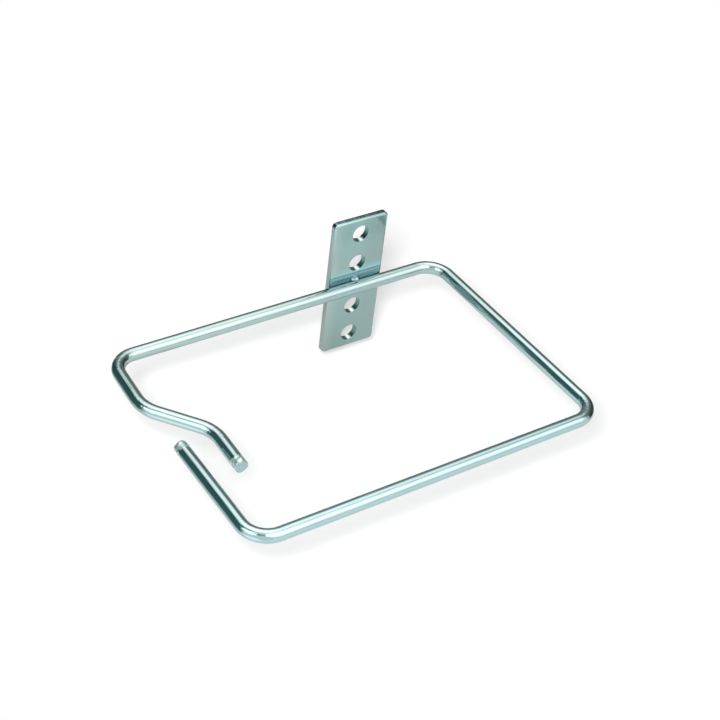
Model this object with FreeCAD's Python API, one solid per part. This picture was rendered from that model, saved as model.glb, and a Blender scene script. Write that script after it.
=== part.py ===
import FreeCAD, Part
import math
import os

Vector = FreeCAD.Vector

# A bent wire ring for guiding cables, welded to an upright plate that screws to a rack or a wall.
# Millimetres and degrees. The origin is the middle of the hole column on the plate's back face.
# +X is to the right, +Y points out of the plate's back into the wall, and +Z is up.

# Wire ring, seen from above as an open rectangle
wire_diameter = 4.7
ring_width = 138.3
ring_depth = 100.5
corner_bend_radius = 8.6
wire_tip_round = 0.6

# Front arm of the broken left side, measured from the middle of the front run
front_arm_length = 48.2
front_arm_lean = 0.6

# Rear arm of the left side, which jogs inward beside the front arm, measured from the middle of the back run
rear_arm_length = 26.5
rear_arm_splay = 3.7
jog_step = 15.45
jog_angle = 38.2
jog_bend_radius = 13.5
rear_tip_length = 19.0
rear_tip_lean = 2.15

# Punched plate
plate_width = 22.4
plate_end_margin = 6.2
plate_thickness = 2.5
plate_corner_radius = 1.5
plate_edge_round = 0.5
hole_diameter = 6.6
hole_mouth_chamfer = 0.2
outer_hole_spacing = 44.45
inner_hole_spacing = 19.05

# Place of the ring on the plate
plate_to_right_run = 34.5
ring_rise = 0.5
wire_set_down = 0.2

# Weld squeezed out of the joint, above and below the wire
weld_bead_length = 4.2
weld_bead_radius = 1.2
weld_bead_lift = 0.35

# Values that follow from the driving dimensions
wire_radius = wire_diameter / 2
plate_front = -plate_thickness
plate_height = outer_hole_spacing + 2 * plate_end_margin
back_run_y = plate_front - wire_radius + wire_set_down
front_run_y = back_run_y - ring_depth + wire_diameter
right_run_x = plate_to_right_run
left_run_x = right_run_x - ring_width + wire_diameter
hole_heights = (
    outer_hole_spacing / 2,
    inner_hole_spacing / 2,
    -inner_hole_spacing / 2,
    -outer_hole_spacing / 2,
)


def slope(angle):
    """Sideways travel for each millimetre forward."""
    return math.tan(math.radians(angle))


def bent_path(points, radii):
    """Straight runs through the points, joined by tangent arcs of the given radii at the inner points."""
    edges = []
    run_start = points[0]
    for before, corner, after, radius in zip(points, points[1:], points[2:], radii):
        incoming = (corner - before).normalize()
        outgoing = (after - corner).normalize()
        half_turn = incoming.getAngle(outgoing) / 2
        tangent_length = radius * math.tan(half_turn)
        arc_start = corner - incoming * tangent_length
        arc_end = corner + outgoing * tangent_length
        inward = (outgoing - incoming).normalize()
        arc_middle = corner + inward * (radius / math.cos(half_turn) - radius)
        edges.append(Part.LineSegment(run_start, arc_start).toShape())
        edges.append(Part.Arc(arc_start, arc_middle, arc_end).toShape())
        run_start = arc_end
    edges.append(Part.LineSegment(run_start, points[-1]).toShape())
    return Part.Wire(edges)


def ring_path():
    """Middle line of the wire, from the front arm's tip round the ring to the rear arm's tip."""
    def at(x, y):
        return Vector(x, y, ring_rise)

    front_tip = at(left_run_x + front_arm_length * slope(front_arm_lean), front_run_y + front_arm_length)
    front_left = at(left_run_x, front_run_y)
    front_right = at(right_run_x, front_run_y)
    back_right = at(right_run_x, back_run_y)
    back_left = at(left_run_x, back_run_y)
    jog_start = back_left + Vector(-rear_arm_length * slope(rear_arm_splay), -rear_arm_length, 0)
    jog_end = jog_start + Vector(jog_step, -jog_step / slope(jog_angle), 0)
    rear_tip = jog_end + Vector(-rear_tip_length * slope(rear_tip_lean), -rear_tip_length, 0)
    points = [front_tip, front_left, front_right, back_right, back_left, jog_start, jog_end, rear_tip]
    radii = [corner_bend_radius] * 4 + [jog_bend_radius] * 2
    return bent_path(points, radii)


def make_wire_ring():
    """Round wire swept along its bent path, with the cut tips rounded over."""
    path = ring_path()
    tip = path.OrderedVertexes[0].Point
    heading = path.OrderedEdges[0].tangentAt(path.OrderedEdges[0].FirstParameter)
    section = Part.Face(Part.Wire(Part.makeCircle(wire_radius, tip, heading)))
    wire = path.makePipe(section)
    tip_edges = [edge for face in wire.Faces if face.Surface.TypeId == "Part::GeomPlane" for edge in face.Edges]
    return wire.makeFillet(wire_tip_round, tip_edges)


def make_mounting_plate(wire_ring):
    """Punched plate with rounded corners, rolled-over front edges and a seat pressed in by the wire."""
    corner = Vector(-plate_width / 2, plate_front, -plate_height / 2)
    plate = Part.makeBox(plate_width, plate_thickness, plate_height, corner)
    upright_corners = [edge for edge in plate.Edges if abs(edge.tangentAt(edge.FirstParameter).y) > 0.5]
    plate = plate.makeFillet(plate_corner_radius, upright_corners)
    plate = plate.makeFillet(plate_edge_round, front_edges(plate))
    for height in hole_heights:
        mouth = Vector(0, plate_front, height)
        plate = plate.cut(Part.makeCylinder(hole_diameter / 2, plate_thickness, mouth, Vector(0, 1, 0)))
    mouths = [edge for edge in front_edges(plate) if edge.Curve.TypeId == "Part::GeomCircle"]
    plate = plate.makeChamfer(hole_mouth_chamfer, mouths)
    return plate.cut(wire_ring)


def front_edges(plate):
    """Edges that bound the plate's front face."""
    front_face = min(plate.Faces, key=lambda face: face.CenterOfMass.y)
    return front_face.Edges


def make_weld_beads(wire_ring, mounting_plate):
    """Two small beads in the corners between the wire and the plate, one above and one below the wire."""
    bead_y = plate_front - weld_bead_lift
    bead_drop = math.sqrt((wire_radius + weld_bead_lift) ** 2 - (bead_y - back_run_y) ** 2)
    beads = []
    for side in (1, -1):
        middle = Vector(0, bead_y, ring_rise + side * bead_drop)
        beads.append(weld_bead(middle).cut(wire_ring).cut(mounting_plate))
    return Part.makeCompound([solid for bead in beads for solid in bead.Solids])


def weld_bead(middle):
    """Drop of weld, round across the wire and drawn out along it."""
    drop = Part.makeSphere(weld_bead_radius)
    stretch = FreeCAD.Matrix()
    stretch.scale(weld_bead_length / (2 * weld_bead_radius), 1, 1)
    return drop.transformGeometry(stretch).translated(middle)


wire_ring = make_wire_ring()
mounting_plate = make_mounting_plate(wire_ring)
weld_beads = make_weld_beads(wire_ring, mounting_plate)

os.makedirs("parts", exist_ok=True)
wire_ring.exportStep("parts/wire_ring.step")
mounting_plate.exportStep("parts/mounting_plate.step")
weld_beads.exportStep("parts/weld_beads.step")
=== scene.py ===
import math

import bmesh
import bpy
from mathutils import Matrix, Vector, noise


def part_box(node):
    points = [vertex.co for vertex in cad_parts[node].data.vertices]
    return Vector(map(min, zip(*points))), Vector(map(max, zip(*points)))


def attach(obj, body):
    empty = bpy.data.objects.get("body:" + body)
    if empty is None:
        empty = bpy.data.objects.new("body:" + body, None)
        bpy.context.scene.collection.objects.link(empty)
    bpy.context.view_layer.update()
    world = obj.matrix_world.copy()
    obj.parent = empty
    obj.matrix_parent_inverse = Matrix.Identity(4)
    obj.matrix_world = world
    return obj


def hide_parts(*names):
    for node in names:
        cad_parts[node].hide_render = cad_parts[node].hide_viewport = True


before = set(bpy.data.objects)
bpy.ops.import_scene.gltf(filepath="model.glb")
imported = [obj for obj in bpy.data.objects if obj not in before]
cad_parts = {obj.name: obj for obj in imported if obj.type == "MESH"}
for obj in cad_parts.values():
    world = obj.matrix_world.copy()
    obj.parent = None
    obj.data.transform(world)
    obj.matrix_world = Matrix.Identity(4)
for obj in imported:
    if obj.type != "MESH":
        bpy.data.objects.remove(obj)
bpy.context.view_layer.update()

# A cable management ring: zinc plated wire bent into an open rectangle and welded to a punched plate.
# The part's own frame: +X right, +Y into the wall, +Z up, origin on the plate's back face.
# Sizes are in millimetres unless a heading says metres, and MM makes metres of them.
MM = 0.001

# Wire, as the part's source gives it
wire_radius = 4.7 / 2
ring_width = 138.3
ring_depth = 100.5
corner_bend_radius = 8.6
wire_tip_round = 0.6
front_arm_length = 48.2
front_arm_lean = math.radians(0.6)
rear_arm_length = 26.5
rear_arm_splay = math.radians(3.7)
jog_step = 15.45
jog_angle = math.radians(38.2)
jog_bend_radius = 13.5
rear_tip_length = 19.0
rear_tip_lean = math.radians(2.15)
plate_to_right_run = 34.5
ring_rise = 0.5
wire_set_down = 0.2

# Thick, knobbly plating that gathers at the cut ends of the wire
tip_plating_length = 4.0
tip_knob_height = 0.16
tip_knob_size = 1.5

# Plate, with its outside taken from the solid
plate_low, plate_high = (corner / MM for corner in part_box("mounting_plate"))
plate_width = plate_high.x - plate_low.x
plate_height = plate_high.z - plate_low.z
plate_front = plate_low.y
plate_back = plate_high.y
plate_corner_radius = 1.5
plate_edge_round = 0.75
plate_burr_break = 0.08
hole_radius = 6.6 / 2
hole_mouth_round = 0.2
outer_hole_spacing = 44.45
inner_hole_spacing = 19.05

# Weld beads
weld_bead_length = 4.2
weld_bead_radius = 1.2
weld_bead_lift = 0.35
weld_bead_fullness = 0.93
weld_ripple_height = 0.07
weld_ripple_size = 0.8
weld_toe_depth = 0.5
weld_toe_drop = 0.4

# Places that follow from the sizes
back_run_y = plate_front - wire_radius + wire_set_down
front_run_y = back_run_y - ring_depth + 2 * wire_radius
right_run_x = plate_to_right_run
left_run_x = right_run_x - ring_width + 2 * wire_radius
bend_radii = [corner_bend_radius] * 4 + [jog_bend_radius] * 2
upper_holes = [outer_hole_spacing / 2, inner_hole_spacing / 2]
hole_heights = upper_holes + [-height for height in reversed(upper_holes)]

# Fineness of the meshes
wire_sides = 56
run_step = 6
bend_step = math.radians(5)
tip_step = 0.25
tip_round_margin = 0.1
tip_rounding_steps = 7
edge_rounding_steps = 5
plate_corner_steps = 8
plate_crease_angle = math.radians(40)
hole_sides = 56
flat_margin = 0.12
weld_bead_fineness = 4

# First stretches of the wire from a cut end, as (length, step)
tip_blank = wire_tip_round + tip_round_margin
tip_stretches = [(tip_blank, tip_blank), (tip_plating_length - tip_blank, tip_step)]


def only(kind, parts):
    """The parts of one kind: vertices, edges or faces."""
    return [part for part in parts if isinstance(part, kind)]


def finish_piece(name, mesh_shape, materials, node):
    """Turns a modelled shape into a smooth shaded piece that stands for its CAD node."""
    bmesh.ops.recalc_face_normals(mesh_shape, faces=mesh_shape.faces[:])
    bmesh.ops.scale(mesh_shape, vec=(MM, MM, MM), verts=mesh_shape.verts[:])
    for face in mesh_shape.faces:
        face.smooth = True
    mesh = bpy.data.meshes.new(name)
    mesh_shape.to_mesh(mesh)
    mesh_shape.free()
    for material in materials:
        mesh.materials.append(material)
    piece = bpy.data.objects.new(name, mesh)
    bpy.context.scene.collection.objects.link(piece)
    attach(piece, "root")
    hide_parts(node)
    return piece


# Wire ring

def ring_route():
    """Corners of the wire's middle line, from the front arm's tip round to the rear arm's tip."""
    front_left = Vector((left_run_x, front_run_y, ring_rise))
    front_right = Vector((right_run_x, front_run_y, ring_rise))
    back_right = Vector((right_run_x, back_run_y, ring_rise))
    back_left = Vector((left_run_x, back_run_y, ring_rise))
    front_tip = front_left + Vector((front_arm_length * math.tan(front_arm_lean), front_arm_length, 0))
    jog_start = back_left + Vector((-rear_arm_length * math.tan(rear_arm_splay), -rear_arm_length, 0))
    jog_end = jog_start + Vector((jog_step, -jog_step / math.tan(jog_angle), 0))
    rear_tip = jog_end + Vector((-rear_tip_length * math.tan(rear_tip_lean), -rear_tip_length, 0))
    return [front_tip, front_left, front_right, back_right, back_left, jog_start, jog_end, rear_tip]


def cut_wire(wire, around, tip, heading):
    """Rim of the wire's first cut end, on which each point notes its place around the wire."""
    across = heading.cross(Vector((0, 0, 1)))
    head_on = heading.to_track_quat("Z", "Y").to_matrix().to_4x4()
    bmesh.ops.create_circle(
        wire, segments=wire_sides, radius=wire_radius, matrix=Matrix.Translation(tip) @ head_on
    )
    for vert in wire.verts:
        spoke = (vert.co - tip) / wire_radius
        vert[around] = (spoke.dot(across), spoke.z, 0)
    return wire.edges[:]


def push_straight(wire, rim, travel, step):
    """Feeds the wire straight on, in short steps, and returns its new rim."""
    steps = math.ceil(travel.length / step)
    for _ in range(steps):
        fed = bmesh.ops.extrude_edge_only(wire, edges=rim)["geom"]
        bmesh.ops.translate(wire, vec=travel / steps, verts=only(bmesh.types.BMVert, fed))
        rim = [edge for edge in only(bmesh.types.BMEdge, fed) if len(edge.link_faces) == 1]
    return rim


def tangent_bend(place, corner, beyond, radius):
    """Start and end of the bend at a corner, the middle that it turns about, and its angle."""
    heading = (corner - place).normalized()
    leaving = (beyond - corner).normalized()
    turn = math.atan2(heading.cross(leaving).z, heading.dot(leaving))
    tangent_length = radius * math.tan(abs(turn) / 2)
    bend_start = corner - heading * tangent_length
    bend_end = corner + leaving * tangent_length
    inward = Vector((-heading.y, heading.x, 0)) * math.copysign(1, turn)
    return bend_start, bend_end, bend_start + inward * radius, turn


def bend_round(wire, rim, centre, turn):
    """Bends the wire about an upright axis and returns its new rim."""
    bent = bmesh.ops.spin(
        wire, geom=rim, cent=centre, axis=(0, 0, 1), angle=turn, steps=math.ceil(abs(turn) / bend_step),
        use_merge=False, use_duplicate=False,
    )
    return only(bmesh.types.BMEdge, bent["geom_last"])


def round_tip(wire, tip_rim):
    """Closes a cut end of the wire and rounds its edge over."""
    bmesh.ops.edgeloop_fill(wire, edges=tip_rim)
    rounded = bmesh.ops.bevel(
        wire, geom=tip_rim, offset=wire_tip_round, offset_type="OFFSET", segments=tip_rounding_steps,
        profile=0.5, affect="EDGES", material=-1, clamp_overlap=True,
    )
    cut_face = max(
        (face for edge in rounded["edges"] for face in edge.link_faces), key=lambda face: len(face.verts)
    )
    bmesh.ops.inset_region(wire, faces=[cut_face], thickness=flat_margin)


def gather_plating(wire, plating, tip):
    """Raises uneven knobs of plating on the last stretch of the wire before a tip."""
    for vert in wire.verts:
        away = abs(vert.co.y - tip.y)
        if (vert.co - tip).length < tip_plating_length + wire_radius and away < tip_plating_length:
            vert[plating] = 1 - away / tip_plating_length
            knob = noise.noise(vert.co / tip_knob_size) * math.sqrt(vert[plating])
            vert.co += vert.normal * tip_knob_height * knob


def bend_wire(route):
    """Round wire along its route: straight runs joined by tangent bends, with the cut tips rounded over."""
    wire = bmesh.new()
    around = wire.verts.layers.float_vector.new("around_wire")
    stretch = wire.verts.layers.float.new("bend_stretch")
    plating = wire.verts.layers.float.new("tip_plating")
    heading = (route[1] - route[0]).normalized()
    leaving = (route[-1] - route[-2]).normalized()
    first_rim = cut_wire(wire, around, route[0], heading)
    rim = first_rim
    for length, step in tip_stretches:
        rim = push_straight(wire, rim, heading * length, step)
    place = route[0] + heading * tip_plating_length
    stretched = []
    for corner, beyond, radius in zip(route[1:], route[2:], bend_radii):
        bend_start, bend_end, centre, turn = tangent_bend(place, corner, beyond, radius)
        rim = push_straight(wire, rim, bend_start - place, run_step)
        straight_verts = len(wire.verts)
        rim = bend_round(wire, rim, centre, turn)
        stretched += wire.verts[:][straight_verts:]
        place = bend_end
    rim = push_straight(wire, rim, route[-1] - place - leaving * tip_plating_length, run_step)
    for length, step in reversed(tip_stretches):
        rim = push_straight(wire, rim, leaving * length, step)

    # The bends are marked last, because a run that is fed on copies the marks of the rim it starts from
    for vert in stretched:
        vert[stretch] = 1
    for tip_rim in (first_rim, rim):
        round_tip(wire, tip_rim)
    bmesh.ops.recalc_face_normals(wire, faces=wire.faces[:])
    for tip in (route[0], route[-1]):
        gather_plating(wire, plating, tip)
    return wire


# Mounting plate: the turn that stands a flat outline upright, and the places of its wall finishes
upright = Matrix.Rotation(math.radians(90), 4, "X")
edge_finish_place = 1
hole_finish_place = 2


def plate_outline(plate, inset, depth):
    """Loop of edges of the plate's outline with rounded corners, drawn in by an inset, at a depth."""
    middle = Matrix.Translation((0, depth, (plate_low.z + plate_high.z) / 2))
    stretch = Matrix.Diagonal((plate_width - 2 * inset, plate_height - 2 * inset, 1, 1))
    corners = bmesh.ops.create_grid(
        plate, x_segments=1, y_segments=1, size=0.5, matrix=middle @ upright @ stretch
    )["verts"]
    rounded = bmesh.ops.bevel(
        plate, geom=corners, offset=plate_corner_radius - inset, offset_type="OFFSET",
        segments=plate_corner_steps, profile=0.5, affect="VERTICES", material=-1,
    )
    blank = rounded["verts"][0].link_faces[0]
    loop = blank.edges[:]
    bmesh.ops.delete(plate, geom=[blank], context="FACES_ONLY")
    return loop


def hole_ring(plate, height, widening, depth):
    """Loop of edges of one screw hole, widened by an amount, at a depth."""
    ring = bmesh.ops.create_circle(
        plate, segments=hole_sides, radius=hole_radius + widening,
        matrix=Matrix.Translation((0, depth, height)) @ upright,
    )["verts"]
    return list(dict.fromkeys(edge for vert in ring for edge in vert.link_edges))


def rolled_profile(front_round):
    """Steps of (inset, depth) from the plate's back face to its front face, over a rounded front edge."""
    steps = [(plate_burr_break, plate_back), (0, plate_back - plate_burr_break)]
    for step in range(edge_rounding_steps + 1):
        angle = math.radians(90) * step / edge_rounding_steps
        inset = front_round * (1 - math.cos(angle))
        depth = plate_front + front_round * (1 - math.sin(angle))
        steps.append((inset, depth))
    return steps


def bridge_all(plate, loops):
    """Skins a row of loops, each to the next, and returns the faces of each skin."""
    pairs = zip(loops, loops[1:])
    return [bmesh.ops.bridge_loops(plate, edges=behind + before)["faces"] for behind, before in pairs]


def punch_plate():
    """Sheared and punched plate: front edges rolled over, back edges nearly sharp, four screw holes."""
    plate = bmesh.new()
    edge_steps = rolled_profile(plate_edge_round)
    hole_steps = rolled_profile(hole_mouth_round)
    sides = [[plate_outline(plate, *step) for step in edge_steps]]
    sides += [[hole_ring(plate, height, *step) for step in hole_steps] for height in hole_heights]
    skins = [bridge_all(plate, loops) for loops in sides]
    wall_finishes = [edge_finish_place] + [hole_finish_place] * len(hole_heights)
    for skin, finish in zip(skins, wall_finishes):
        burr, wall = skin[:2]
        for face in burr + wall:
            face.material_index = finish

    # The back face closes the first loops and the front face the last
    for place, outward in ((0, 1), (-1, -1)):
        filled = bmesh.ops.triangle_fill(
            plate, use_beauty=True, use_dissolve=False, normal=(0, outward, 0),
            edges=[edge for loops in sides for edge in loops[place]],
        )["geom"]
        bmesh.ops.inset_region(plate, faces=only(bmesh.types.BMFace, filled), thickness=flat_margin)
    return plate


# Weld beads

def squeeze_beads():
    """Two uneven beads of weld in the corners between wire and plate, above and below the wire."""
    beads = bmesh.new()
    bead_y = plate_front - weld_bead_lift
    bead_rise = math.sqrt((wire_radius + weld_bead_lift) ** 2 - (bead_y - back_run_y) ** 2)
    stretch = Matrix.Diagonal((weld_bead_length / 2, weld_bead_radius, weld_bead_radius, 1))
    for side in (1, -1):
        middle = Vector((0, bead_y, ring_rise + side * bead_rise))
        bead = bmesh.ops.create_icosphere(
            beads, subdivisions=weld_bead_fineness, radius=1, matrix=Matrix.Translation(middle) @ stretch
        )["verts"]
        for vert in bead:
            ripple = noise.noise(vert.co / weld_ripple_size)
            vert.co = middle + (vert.co - middle) * (weld_bead_fullness + weld_ripple_height * ripple)
            toe = (2 * vert.co.x / weld_bead_length) ** 2
            vert.co += Vector((0, weld_toe_depth, -side * weld_toe_drop)) * toe
    return beads


# Zinc finishes: tints as (place from 0 to 1, color), patterns in cells per metre along X, Y and Z
white = (1, 1, 1)
black = (0, 0, 0)

# Spans of a pattern's noise that are carried over, from soft to sharp
soft_noise = (0.2, 0.8)
mild_noise = (0.25, 0.75)
usual_noise = (0.3, 0.7)
sharp_noise = (0.35, 0.65)

# Zinc of the wire's runs and bends
wire_tints = [
    (0, (0.385, 0.525, 0.51)),
    (0.4, (0.4, 0.535, 0.53)),
    (1, (0.4, 0.57, 0.59)),
]
wire_forward_share = 0.8
wire_cloud_share = 0.2
wire_rim_shine = (0.6, 0.6, 0.6, 1)
wire_lines_around = (7, 7, 7)
wire_line_cells = (110, 110, 110)
wire_cloud_cells = (220, 220, 220)
wire_mottling_cells = (1000, 1000, 1000)
wire_grain_cells = (2200, 2200, 2200)
wire_roughness = (0.045, 0.1)
wire_relief = 0.03
bend_peel = 0.65
# Darker tints near the weld, a painted dimming of the wire's highlights there, reaching out from the weld
weld_dimming_core = 8
weld_dimming_reach = 42
weld_dimmed_tints = [(0.3, (0.34, 0.47, 0.475)), (0.7, (0.36, 0.49, 0.49))]

# Zinc of the wire's tips, with borders as shares of the plating's growth towards the tip
dull_border = (0.08, 0.16)
dull_border_wander = (0.4, 1.6)
dull_tints = [(0.4, (0.36, 0.52, 0.5)), (0.62, (0.68, 0.84, 0.82))]
dull_roughness = 0.22
dull_metal = 0.72
knob_border = (0.7, 0.95)
knob_relief = (1.8, 0.15)
cut_face_border = (0.9, 0.97)
cut_tints = [(0.3, (0.3, 0.43, 0.41)), (0.7, (0.38, 0.51, 0.49))]

# Zinc of the plate's faces with painted reflection shading, lighter by the left edge and the top and darker
# to the bottom: heights where the middle tints begin to fade, and tints from left to right
plate_fade_low = -6
plate_fade_high = 13
plate_shaded_tints = {
    "top": [
        (0.02, (0.374, 0.54, 0.53)),
        (0.1, (0.348, 0.516, 0.506)),
        (0.22, (0.302, 0.487, 0.476)),
        (0.5, (0.3, 0.487, 0.485)),
        (0.75, (0.29, 0.455, 0.45)),
        (0.95, (0.305, 0.46, 0.452)),
    ],
    "middle": [
        (0.02, (0.36, 0.465, 0.445)),
        (0.1, (0.335, 0.445, 0.425)),
        (0.22, (0.29, 0.42, 0.4)),
        (0.5, (0.28, 0.415, 0.402)),
        (0.75, (0.27, 0.383, 0.37)),
        (0.95, (0.28, 0.383, 0.37)),
    ],
    "bottom": [
        (0.02, (0.28, 0.365, 0.35)),
        (0.1, (0.26, 0.35, 0.335)),
        (0.22, (0.23, 0.335, 0.32)),
        (0.5, (0.24, 0.36, 0.345)),
        (0.75, (0.262, 0.372, 0.355)),
        (0.95, (0.27, 0.37, 0.355)),
    ],
}
plate_cloud_cells = (120, 120, 90)
plate_cloud_wander = 0.07
plate_streak_cells = (700, 700, 60)
plate_roughness = (0.09, 0.13)
plate_relief = 0.0003

# Painted reflection of the wire on the plate just above it, in bluer bands with light strips, with tints
# from the wire's middle up
painted_reflection_top = 8.5
painted_wire_reflection_tints = [
    (0.25, (0.3, 0.45, 0.47)),
    (0.38, (0.4, 0.54, 0.58)),
    (0.5, (0.29, 0.45, 0.475)),
    (0.6, (0.27, 0.47, 0.49)),
    (0.7, (0.29, 0.53, 0.545)),
    (0.8, (0.29, 0.5, 0.52)),
]
painted_wire_reflection_cover = [(0.02, black), (0.1, white), (0.72, white), (1, black)]

# Zinc of the plate's edge, sheared at its two ends, with the border as distances from an end; its dark
# tints are painted shade on the edge walls, and the strokes at the ends are real shear marks
shear_border = (1.8, 0.9)
edge_stroke_cells = (1400, 120, 900)
edge_smooth_shaded_tints = [(0.3, (0.27, 0.33, 0.32)), (0.7, (0.29, 0.35, 0.34))]
edge_sheared_shaded_tints = [(0.42, (0.08, 0.13, 0.13)), (0.58, (0.23, 0.32, 0.32))]
edge_roughness = 0.16
edge_relief = 0.006

# Zinc of the hole walls with painted shade and a painted glint, in tints from a hole's left side to its
# right: dark at both sides, bright just right of the middle
hole_glint_and_shade_tints = [
    (0.2, (0.15, 0.21, 0.2)),
    (0.48, (0.22, 0.3, 0.29)),
    (0.57, (0.5, 0.6, 0.59)),
    (0.64, (0.5, 0.6, 0.59)),
    (0.73, (0.18, 0.28, 0.27)),
    (0.9, (0.15, 0.25, 0.24)),
]
hole_stroke_cells = (1500, 100, 1500)
hole_stroke_wander = 0.03
hole_roughness = 0.04
hole_relief = 0.001

# Zinc of the weld beads
weld_grain_cells = (1300, 1300, 1300)
weld_tints = [(0.3, (0.25, 0.36, 0.4)), (0.7, (0.44, 0.56, 0.61))]
weld_roughness = (0.2, 0.4)
weld_relief = 0.02

# Sockets of a Mix node that are for colors
mix_first = 6
mix_second = 7
mix_result = 2


def add_node(tree, kind, **settings):
    """A shader node with its plain properties set."""
    made = tree.nodes.new(kind)
    for setting, value in settings.items():
        setattr(made, setting, value)
    return made


def bare_metal(name):
    """A new metal material with its node tree and its shader."""
    material = bpy.data.materials.new(name)
    material.use_nodes = True
    metal = material.node_tree.nodes["Principled BSDF"]
    metal.inputs["Metallic"].default_value = 1
    return material, material.node_tree, metal


def piece_place(tree):
    """Places on the piece."""
    return add_node(tree, "ShaderNodeTexCoord").outputs["Object"]


def axes_of(tree, vector):
    """X, Y and Z of a place or a direction."""
    axes = add_node(tree, "ShaderNodeSeparateXYZ")
    tree.links.new(vector, axes.inputs["Vector"])
    return axes.outputs


def noted(tree, name):
    """A value that the piece notes at each of its points."""
    return add_node(tree, "ShaderNodeAttribute", attribute_name=name).outputs["Fac"]


def cell_place(tree, cells):
    """Places on the piece, with each axis counted in its own number of pattern cells per metre."""
    count = add_node(tree, "ShaderNodeMapping")
    count.inputs["Scale"].default_value = cells
    tree.links.new(piece_place(tree), count.inputs["Vector"])
    return count.outputs["Vector"]


def cloudy(tree, place, detail=2):
    """Soft random clouds, one to a pattern cell."""
    clouds = add_node(tree, "ShaderNodeTexNoise")
    clouds.inputs["Scale"].default_value = 1
    clouds.inputs["Detail"].default_value = detail
    tree.links.new(place, clouds.inputs["Vector"])
    return clouds.outputs["Fac"]


def spread(tree, value, low, high, to_low, to_high):
    """Carries one span of values over to another."""
    span = add_node(tree, "ShaderNodeMapRange")
    span.inputs["From Min"].default_value = low
    span.inputs["From Max"].default_value = high
    span.inputs["To Min"].default_value = to_low
    span.inputs["To Max"].default_value = to_high
    tree.links.new(value, span.inputs["Value"])
    return span.outputs["Result"]


def tinted(tree, value, stops):
    """Color that runs through the stops as the value rises from 0 to 1."""
    tints = add_node(tree, "ShaderNodeValToRGB")
    ramp = tints.color_ramp
    first, *inner, last = stops
    for end, (position, color) in zip(ramp.elements[:], (first, last)):
        end.position = position
        end.color = (*color, 1)
    for position, color in inner:
        ramp.elements.new(position).color = (*color, 1)
    tree.links.new(value, tints.inputs["Fac"])
    return tints.outputs["Color"]


def blended(tree, amount, first, second):
    """Goes from the first color to the second with the amount."""
    blend = add_node(tree, "ShaderNodeMix", data_type="RGBA")
    tree.links.new(amount, blend.inputs["Factor"])
    tree.links.new(first, blend.inputs[mix_first])
    tree.links.new(second, blend.inputs[mix_second])
    return blend.outputs[mix_result]


def combined(tree, operation, first, second):
    """Sum, product or the like of two values."""
    result = add_node(tree, "ShaderNodeMath", operation=operation)
    tree.links.new(first, result.inputs[0])
    tree.links.new(second, result.inputs[1])
    return result.outputs["Value"]


def raise_surface(tree, metal, height, millimetres):
    """Fine relief of a real height."""
    relief = add_node(tree, "ShaderNodeBump")
    relief.inputs["Distance"].default_value = millimetres * MM
    tree.links.new(height, relief.inputs["Height"])
    tree.links.new(relief.outputs["Normal"], metal.inputs["Normal"])


def drawn_lines(tree):
    """Fine lines along the wire, left by the die that it was drawn through."""
    around = add_node(tree, "ShaderNodeAttribute", attribute_name="around_wire")
    place = add_node(tree, "ShaderNodeVectorMath", operation="MULTIPLY_ADD")
    place.inputs[1].default_value = wire_lines_around
    tree.links.new(around.outputs["Vector"], place.inputs[0])
    tree.links.new(cell_place(tree, wire_line_cells), place.inputs[2])
    return cloudy(tree, place.outputs["Vector"])


def run_color(tree, clouds):
    """Bright zinc of the wire's runs, bluer to the front and darker by the weld, where the darkening is a
    painted dimming of the highlights.
    """
    place = piece_place(tree)
    to_front = axes_of(tree, place)["Y"]
    forward = spread(tree, to_front, back_run_y * MM, front_run_y * MM, 0, wire_forward_share)
    wander = spread(tree, clouds, *mild_noise, 0, wire_cloud_share)
    bright = tinted(tree, combined(tree, "ADD", forward, wander), wire_tints)
    # Painted dimming of the wire's highlights near the weld
    weld_distance = add_node(tree, "ShaderNodeVectorMath", operation="DISTANCE")
    weld_distance.inputs[1].default_value = (0, back_run_y * MM, ring_rise * MM)
    tree.links.new(place, weld_distance.inputs[0])
    dimmed_near_weld = spread(tree, weld_distance.outputs["Value"], weld_dimming_reach * MM, weld_dimming_core * MM, 0, 1)
    return blended(tree, dimmed_near_weld, bright, tinted(tree, clouds, weld_dimmed_tints))


def tip_color(tree, tip, mottling):
    """Dull zinc of the wire's tips, mottled around them and greyer on the cut face."""
    grain = cloudy(tree, cell_place(tree, wire_grain_cells))
    cut_face = spread(tree, tip, *cut_face_border, 0, 1)
    return blended(tree, cut_face, tinted(tree, mottling, dull_tints), tinted(tree, grain, cut_tints))


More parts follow.
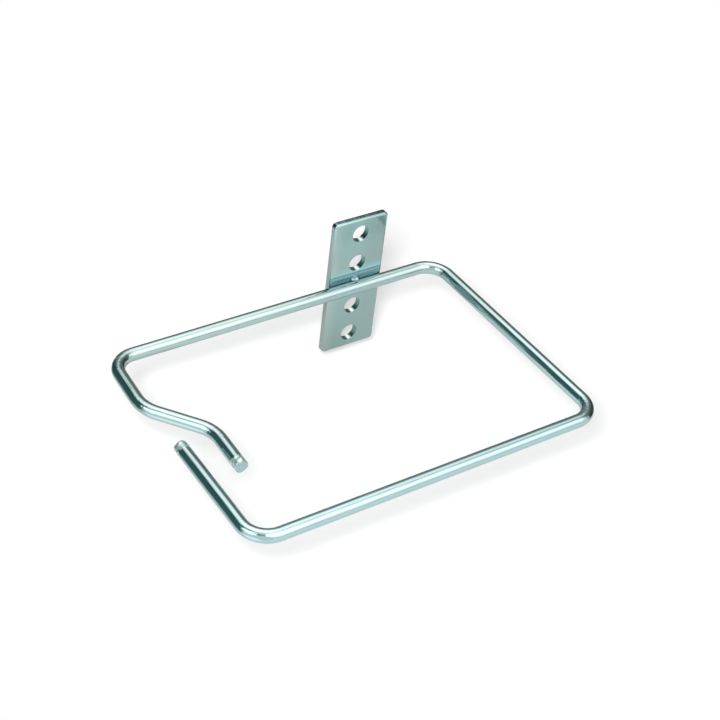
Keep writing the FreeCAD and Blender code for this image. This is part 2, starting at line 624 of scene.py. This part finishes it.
def wire_finish():
    """Drawn wire under bright zinc, pebbled where it is bent, and dull and knobbly at the tips."""
    material, tree, metal = bare_metal("wire_zinc")
    metal.inputs["Specular Tint"].default_value = wire_rim_shine
    lines = drawn_lines(tree)
    clouds = cloudy(tree, cell_place(tree, wire_cloud_cells), detail=3)
    mottling = cloudy(tree, cell_place(tree, wire_mottling_cells))
    tip = noted(tree, "tip_plating")
    ragged = combined(tree, "MULTIPLY", tip, spread(tree, mottling, *sharp_noise, *dull_border_wander))
    dulled = spread(tree, ragged, *dull_border, 0, 1)
    color = blended(tree, dulled, run_color(tree, clouds), tip_color(tree, tip, mottling))
    tree.links.new(color, metal.inputs["Base Color"])

    gloss = spread(tree, lines, *usual_noise, *wire_roughness)
    dull_gloss = spread(tree, dulled, 0, 1, 0, dull_roughness)
    tree.links.new(combined(tree, "ADD", gloss, dull_gloss), metal.inputs["Roughness"])
    tree.links.new(spread(tree, dulled, 0, 1, 1, dull_metal), metal.inputs["Metallic"])
    knobbly = combined(tree, "MULTIPLY", dulled, spread(tree, tip, *knob_border, *knob_relief))
    knobs = combined(tree, "MULTIPLY", knobbly, mottling)
    pebbles = spread(tree, mottling, *soft_noise, -bend_peel, bend_peel)
    peel = combined(tree, "MULTIPLY", noted(tree, "bend_stretch"), pebbles)
    relief = combined(tree, "ADD", lines, combined(tree, "ADD", knobs, peel))
    raise_surface(tree, metal, relief, wire_relief)
    return material


def plate_finish():
    """Zinc on rolled strip, with painted reflection shading that makes it lighter by the left edge and the
    top, greyer to the right and darker to the bottom, and a painted reflection of the wire in bluer bands
    just above it.
    """
    material, tree, metal = bare_metal("plate_zinc")
    streaks = cloudy(tree, cell_place(tree, plate_streak_cells), detail=3)
    clouds = cloudy(tree, cell_place(tree, plate_cloud_cells), detail=3)
    sides = axes_of(tree, piece_place(tree))
    across = spread(tree, sides["X"], plate_low.x * MM, plate_high.x * MM, 0, 1)
    wander = spread(tree, clouds, *soft_noise, -plate_cloud_wander, plate_cloud_wander)
    place = combined(tree, "ADD", across, wander)
    # Zinc colour with painted reflection shading: lighter by the left edge, darker to the bottom, lighter
    # to the top
    plain = tinted(tree, place, plate_shaded_tints["middle"])
    zones = [("bottom", plate_fade_low, plate_low.z), ("top", plate_fade_high, plate_high.z)]
    for zone, start, end in zones:
        reach = spread(tree, sides["Z"], start * MM, end * MM, 0, 1)
        plain = blended(tree, reach, plain, tinted(tree, place, plate_shaded_tints[zone]))
    # Painted reflection of the wire in bluer bands with light strips, just above the wire
    over_wire = spread(tree, sides["Z"], 0, painted_reflection_top * MM, 0, 1)
    blue = tinted(tree, over_wire, painted_wire_reflection_tints)
    painted_reflection_amount = tinted(tree, over_wire, painted_wire_reflection_cover)
    tree.links.new(blended(tree, painted_reflection_amount, plain, blue), metal.inputs["Base Color"])
    tree.links.new(spread(tree, streaks, *usual_noise, *plate_roughness), metal.inputs["Roughness"])
    raise_surface(tree, metal, streaks, plate_relief)
    return material


def edge_finish():
    """Edge of the strip under zinc, darkened by painted shade: smooth down the sides, with the shear's
    strokes across both ends.
    """
    material, tree, metal = bare_metal("edge_zinc")
    strokes = cloudy(tree, cell_place(tree, edge_stroke_cells))
    away = add_node(tree, "ShaderNodeMath", operation="ABSOLUTE")
    tree.links.new(axes_of(tree, piece_place(tree))["Z"], away.inputs[0])
    shear_start, shear_full = ((plate_high.z - border) * MM for border in shear_border)
    end = spread(tree, away.outputs["Value"], shear_start, shear_full, 0, 1)
    # Dark tints of the edge walls are painted shade; the strokes are real shear marks
    smooth = tinted(tree, strokes, edge_smooth_shaded_tints)
    sheared = tinted(tree, strokes, edge_sheared_shaded_tints)
    tree.links.new(blended(tree, end, smooth, sheared), metal.inputs["Base Color"])
    metal.inputs["Roughness"].default_value = edge_roughness
    raise_surface(tree, metal, combined(tree, "MULTIPLY", strokes, end), edge_relief)
    return material


def hole_finish():
    """Punched wall of a screw hole under zinc, with fine strokes along it, painted shade at its sides and a
    painted glint just right of its middle.
    """
    material, tree, metal = bare_metal("hole_zinc")
    strokes = cloudy(tree, cell_place(tree, hole_stroke_cells))
    sides = axes_of(tree, piece_place(tree))
    across = spread(tree, sides["X"], -hole_radius * MM, hole_radius * MM, 0, 1)
    wander = spread(tree, strokes, *usual_noise, -hole_stroke_wander, hole_stroke_wander)
    # Painted shade and a painted glint across the hole, from left to right
    color = tinted(tree, combined(tree, "ADD", across, wander), hole_glint_and_shade_tints)
    tree.links.new(color, metal.inputs["Base Color"])
    metal.inputs["Roughness"].default_value = hole_roughness
    raise_surface(tree, metal, strokes, hole_relief)
    return material


def weld_finish():
    """Weld metal under zinc: pale, faintly blue and uneven."""
    material, tree, metal = bare_metal("weld_zinc")
    grain = cloudy(tree, cell_place(tree, weld_grain_cells), detail=4)
    tree.links.new(tinted(tree, grain, weld_tints), metal.inputs["Base Color"])
    tree.links.new(spread(tree, grain, *usual_noise, *weld_roughness), metal.inputs["Roughness"])
    raise_surface(tree, metal, grain, weld_relief)
    return material


finish_piece("ring_wire", bend_wire(ring_route()), [wire_finish()], "wire_ring")
plate_finishes = [plate_finish(), edge_finish(), hole_finish()]
plate_piece = finish_piece("screw_plate", punch_plate(), plate_finishes, "mounting_plate")
plate_piece.data.set_sharp_from_angle(angle=plate_crease_angle)
finish_piece("weld_drops", squeeze_beads(), [weld_finish()], "weld_beads")

# Studio room: its level for the light on the floor, and what only the metal shows of it
room_level = 0.72

# Dark curtain behind the plate: tones from left to right, and fades at its sides and its hem
curtain_tones = [
    (0.1, (0.07, 0.15, 0.15)),
    (0.36, (0.03, 0.1, 0.097)),
    (0.53, (0.15, 0.18, 0.18)),
    (0.68, (0.38, 0.38, 0.36)),
    (0.82, (0.24, 0.25, 0.23)),
    (0.9, (0.26, 0.28, 0.27)),
    (0.97, (0.09, 0.08, 0.075)),
]
curtain_azimuth = 17
curtain_side_fade = (-0.27, -0.02)
curtain_hem_fade = (-0.6, -0.22)

# Soft patches of the room: azimuth, elevation, inner angle and outer angle in degrees, color, strength
room_patches = [
    (22, 71, 20, 40, (1, 0.96, 0.95), 1.65),
    (22, 71, 6, 24, (1, 0.86, 0.86), 2.5),
    (160, 44, 21, 40, (1, 0.9, 0.9), 2.0),
    (172, 43, 6, 32, (1, 0.84, 0.84), 2.6),
    (-97, 36, 13, 28, white, 2.25),
    (-112, -38, 5, 34, (0.97, 0.98, 1), 1.6),
    (-135, 47, 6, 17, white, 0.4),
]

# White floor that carries the shadow
floor_drop = 8
floor_height = plate_low.z - floor_drop
floor_low = Vector((-120, -420, floor_height))
floor_high = Vector((130, 100, floor_height))
floor_white = (0.955, 0.955, 0.955, 1)

# Card on the floor, white to grey along one direction, which only the metal shows
floor_card_lift = 0.2
floor_card_height = floor_height + floor_card_lift
floor_card_low = Vector((-66, -5, floor_card_height))
floor_card_high = Vector((-5, 100, floor_card_height))
floor_card_azimuth = 52
floor_card_white = -20
floor_card_grey = -38
floor_card_tints = [(0, (0.9, 0.9, 0.9)), (1, (0.42, 0.49, 0.48))]

# Card that stands at the left and darkens with height, which only the metal shows
side_card_low = Vector((-95, 25, floor_height))
side_card_high = Vector((-95, 110, 110))
side_card_tints = [
    (0, (0.74, 0.82, 0.82)),
    (0.27, (0.68, 0.8, 0.79)),
    (0.46, (0.28, 0.46, 0.43)),
    (0.66, (0.15, 0.3, 0.28)),
    (1, (0.12, 0.25, 0.23)),
]

# Camera at the photograph's viewing angle, and a small lamp beside it, in metres
camera_place = Vector((-0.29153, -0.38680, 0.34702))
camera_aim = Vector((-0.00284, -0.01526, -0.02529))
camera_roll = math.radians(7.584)
camera_sensor_mm = 36
camera_lens_mm = 81.408
lamp_shift = Vector((-0.035, 0.035, 0))
lamp_size = 0.13
lamp_watts = 6.8


def toward(azimuth, elevation):
    """Direction from the ring: azimuth 0 is behind the plate and 90 to its right, elevation above level."""
    turn = math.radians(azimuth)
    rise = math.radians(elevation)
    return Vector((math.sin(turn) * math.cos(rise), math.cos(turn) * math.cos(rise), math.sin(rise)))


def soft_step(tree, value, start, end):
    """Rises smoothly from 0 to 1 while the value goes from start to end."""
    step = add_node(tree, "ShaderNodeMapRange", interpolation_type="SMOOTHSTEP")
    step.inputs["From Min"].default_value = start
    step.inputs["From Max"].default_value = end
    tree.links.new(value, step.inputs["Value"])
    return step.outputs["Result"]


def facing(tree, vector, azimuth, elevation):
    """How far a place or a direction reaches towards one from the ring."""
    agreement = add_node(tree, "ShaderNodeVectorMath", operation="DOT_PRODUCT")
    agreement.inputs[1].default_value = toward(azimuth, elevation)
    tree.links.new(vector, agreement.inputs[0])
    return agreement.outputs["Value"]


def soft_patch(tree, look, azimuth, elevation, inner, outer):
    """1 within the inner angle of a direction, fading to 0 at the outer angle."""
    agreement = facing(tree, look, azimuth, elevation)
    return soft_step(tree, agreement, math.cos(math.radians(outer)), math.cos(math.radians(inner)))


def plain_glow(tree, color, strength):
    """An even part of the studio room."""
    glow = add_node(tree, "ShaderNodeBackground")
    glow.inputs["Color"].default_value = (*color, 1)
    glow.inputs["Strength"].default_value = strength
    return glow.outputs["Background"]


def laid_over(tree, under, over, amount):
    """One part of the studio room laid over another."""
    blend = add_node(tree, "ShaderNodeMixShader")
    tree.links.new(amount, blend.inputs["Fac"])
    tree.links.new(under, blend.inputs[1])
    tree.links.new(over, blend.inputs[2])
    return blend.outputs["Shader"]


def dark_curtain(tree, look):
    """Dark side of the room, teal on the left and grey on the right, and how far it covers the room."""
    sides = axes_of(tree, look)
    glow = add_node(tree, "ShaderNodeBackground")
    tree.links.new(tinted(tree, spread(tree, sides["X"], -1, 1, 0, 1), curtain_tones), glow.inputs["Color"])
    span = soft_step(tree, facing(tree, look, curtain_azimuth, 0), *curtain_side_fade)
    hem = soft_step(tree, sides["Z"], *curtain_hem_fade)
    return glow.outputs["Background"], combined(tree, "MULTIPLY", span, hem)


def studio_room():
    """World that is white to the camera and even to the floor, and that shows the metal its whole room."""
    world = bpy.data.worlds.new("studio_room")
    world.use_nodes = True
    room = world.node_tree
    room.nodes.clear()
    look = add_node(room, "ShaderNodeTexCoord").outputs["Generated"]
    shown = laid_over(room, plain_glow(room, white, 1), *dark_curtain(room, look))
    for azimuth, elevation, inner, outer, color, strength in room_patches:
        patch = soft_patch(room, look, azimuth, elevation, inner, outer)
        shown = laid_over(room, shown, plain_glow(room, color, strength), patch)
    rays = add_node(room, "ShaderNodeLightPath").outputs
    shown = laid_over(room, plain_glow(room, white, room_level), shown, rays["Is Glossy Ray"])
    shown = laid_over(room, shown, plain_glow(room, white, 1), rays["Is Camera Ray"])
    room.links.new(shown, add_node(room, "ShaderNodeOutputWorld").inputs["Surface"])
    return world


def dull_paper(name):
    """A paper material without shine, with its node tree and the socket of its color."""
    material = bpy.data.materials.new(name)
    material.use_nodes = True
    paper = material.node_tree.nodes["Principled BSDF"]
    paper.inputs["Roughness"].default_value = 1
    paper.inputs["Specular IOR Level"].default_value = 0
    return material, material.node_tree, paper.inputs["Base Color"]


def floor_paper():
    """Plain white paper."""
    material, _, color = dull_paper("floor_paper")
    color.default_value = floor_white
    return material


def floor_card_paper():
    """Paper that goes from white to grey along one direction."""
    material, tree, color = dull_paper("card_paper")
    reach = facing(tree, piece_place(tree), floor_card_azimuth, 0)
    grey = spread(tree, reach, floor_card_white * MM, floor_card_grey * MM, 0, 1)
    tree.links.new(tinted(tree, grey, floor_card_tints), color)
    return material


def side_card_paper():
    """Paper that goes from pale to dark teal with height."""
    material, tree, color = dull_paper("side_card_paper")
    height = axes_of(tree, piece_place(tree))["Z"]
    dark = spread(tree, height, side_card_low.z * MM, side_card_high.z * MM, 0, 1)
    tree.links.new(tinted(tree, dark, side_card_tints), color)
    return material


def set_sheet(name, low, high, material):
    """A flat sheet between two corners, lying where they are equally high and else standing along Y."""
    middle = (low + high) / 2 * MM
    half = (high - low) / 2 * MM
    placed = Matrix.Translation(middle)
    if half.z:
        placed = placed @ Matrix.Rotation(math.radians(90), 4, "Y")
    stretch = Matrix.Diagonal((half.z or half.x, half.y, 1, 1))
    sheet_shape = bmesh.new()
    bmesh.ops.create_grid(sheet_shape, x_segments=1, y_segments=1, size=1, matrix=placed @ stretch)
    sheet_mesh = bpy.data.meshes.new(name)
    sheet_shape.to_mesh(sheet_mesh)
    sheet_shape.free()
    sheet_mesh.materials.append(material)
    sheet = bpy.data.objects.new(name, sheet_mesh)
    bpy.context.scene.collection.objects.link(sheet)
    return sheet


# Room, floor and cards
bpy.context.scene.world = studio_room()
set_sheet("floor", floor_low, floor_high, floor_paper())
for card in (
    set_sheet("floor_card", floor_card_low, floor_card_high, floor_card_paper()),
    set_sheet("side_card", side_card_low, side_card_high, side_card_paper()),
):
    card.visible_camera = False
    card.visible_diffuse = False
    card.visible_shadow = False

# Camera
camera_data = bpy.data.cameras.new("camera")
camera_data.sensor_width = camera_sensor_mm
camera_data.lens = camera_lens_mm
camera = bpy.data.objects.new("camera", camera_data)
camera.location = camera_place
level = (camera_aim - camera_place).to_track_quat("-Z", "Y")
camera.rotation_euler = (level.to_matrix() @ Matrix.Rotation(camera_roll, 3, "Z")).to_euler()
bpy.context.scene.collection.objects.link(camera)
bpy.context.scene.camera = camera
bpy.context.scene.view_settings.view_transform = "Standard"

# Lamp, equally strong at any distance, which gives the object its shadow close to the lower right
shadow_lamp = bpy.data.lights.new("shadow_lamp", "AREA")
shadow_lamp.shape = "DISK"
shadow_lamp.size = lamp_size
shadow_lamp.energy = lamp_watts
shadow_lamp.use_nodes = True
lamp_tree = shadow_lamp.node_tree
falloff = add_node(lamp_tree, "ShaderNodeLightFalloff")
falloff.inputs["Strength"].default_value = 1
lamp_tree.links.new(falloff.outputs["Constant"], lamp_tree.nodes["Emission"].inputs["Strength"])
shadow_light = bpy.data.objects.new("shadow_lamp", shadow_lamp)
shadow_light.location = camera_place + camera.rotation_euler.to_matrix() @ lamp_shift
shadow_light.rotation_euler = (camera_aim - shadow_light.location).to_track_quat("-Z", "Y").to_euler()
shadow_light.visible_glossy = False
bpy.context.scene.collection.objects.link(shadow_light)
